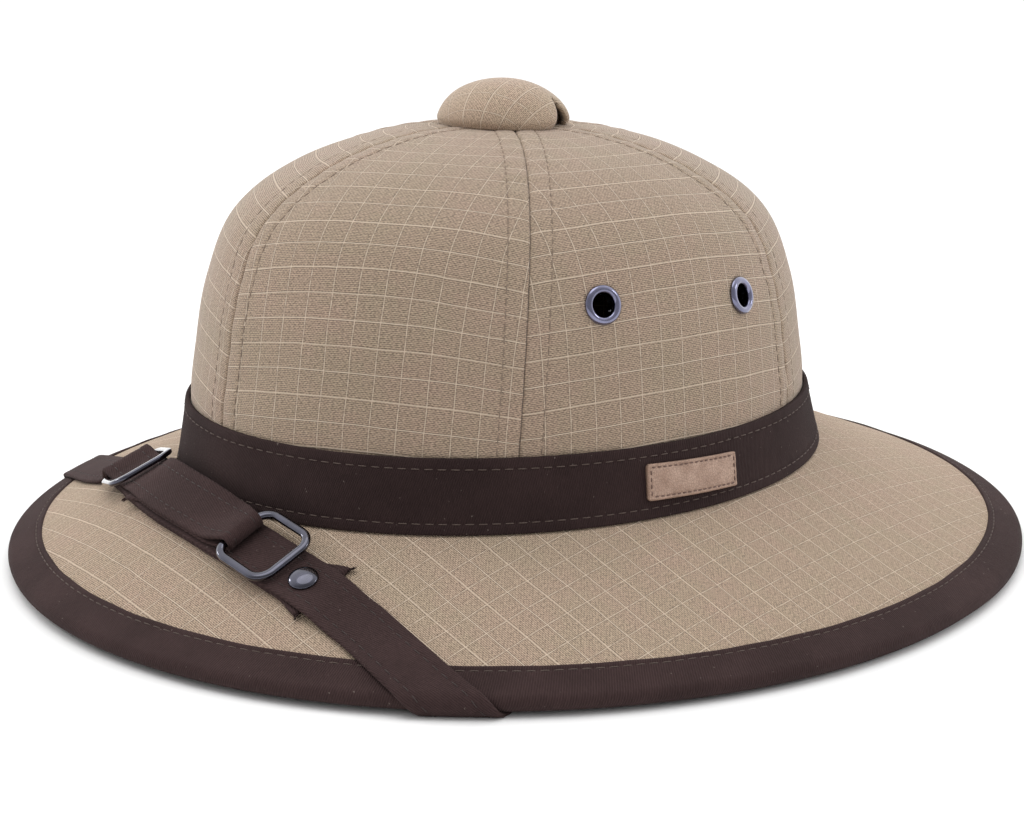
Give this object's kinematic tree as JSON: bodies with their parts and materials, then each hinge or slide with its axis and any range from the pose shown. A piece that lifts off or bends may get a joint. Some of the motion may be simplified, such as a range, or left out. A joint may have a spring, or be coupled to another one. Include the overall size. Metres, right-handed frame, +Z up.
{
  "type": "pith helmet",
  "caption": "Fabric pith helmet in sand ripstop with a dark hat band, bound brim, vent cap, vent eyelets and a dark chin strap laid over the brim.",
  "frame": {"origin": "middle of the foot of the bounding box, on the surface that the hat rests on", "axes": "+Z up, the wearer faces -Y, the wearer's left is +X"},
  "size_m": [0.2972, 0.3332, 0.1437],
  "materials": {
    "ripstop": "matte",
    "twill": "matte",
    "gunmetal": "polished",
    "patch": "satin"
  },
  "bodies": {
    "root": {"crown_panel_front_left": "ripstop", "crown_panel_side_left": "ripstop", "crown_panel_back_left": "ripstop", "crown_panel_back_right": "ripstop", "crown_panel_side_right": "ripstop", "crown_panel_front_right": "ripstop", "vent_cap": "ripstop", "brim": "ripstop", "brim_binding": "twill", "hat_band": "twill", "eyelet_left_front": "gunmetal", "eyelet_left_back": "gunmetal", "eyelet_right_front": "gunmetal", "eyelet_right_back": "gunmetal", "label_patch": "patch", "chin_strap_lower": "twill", "chin_strap_upper": "twill", "strap_ring_1": "gunmetal", "strap_ring_2": "gunmetal", "snap_rivet": "gunmetal"}
  },
  "joints": []
}
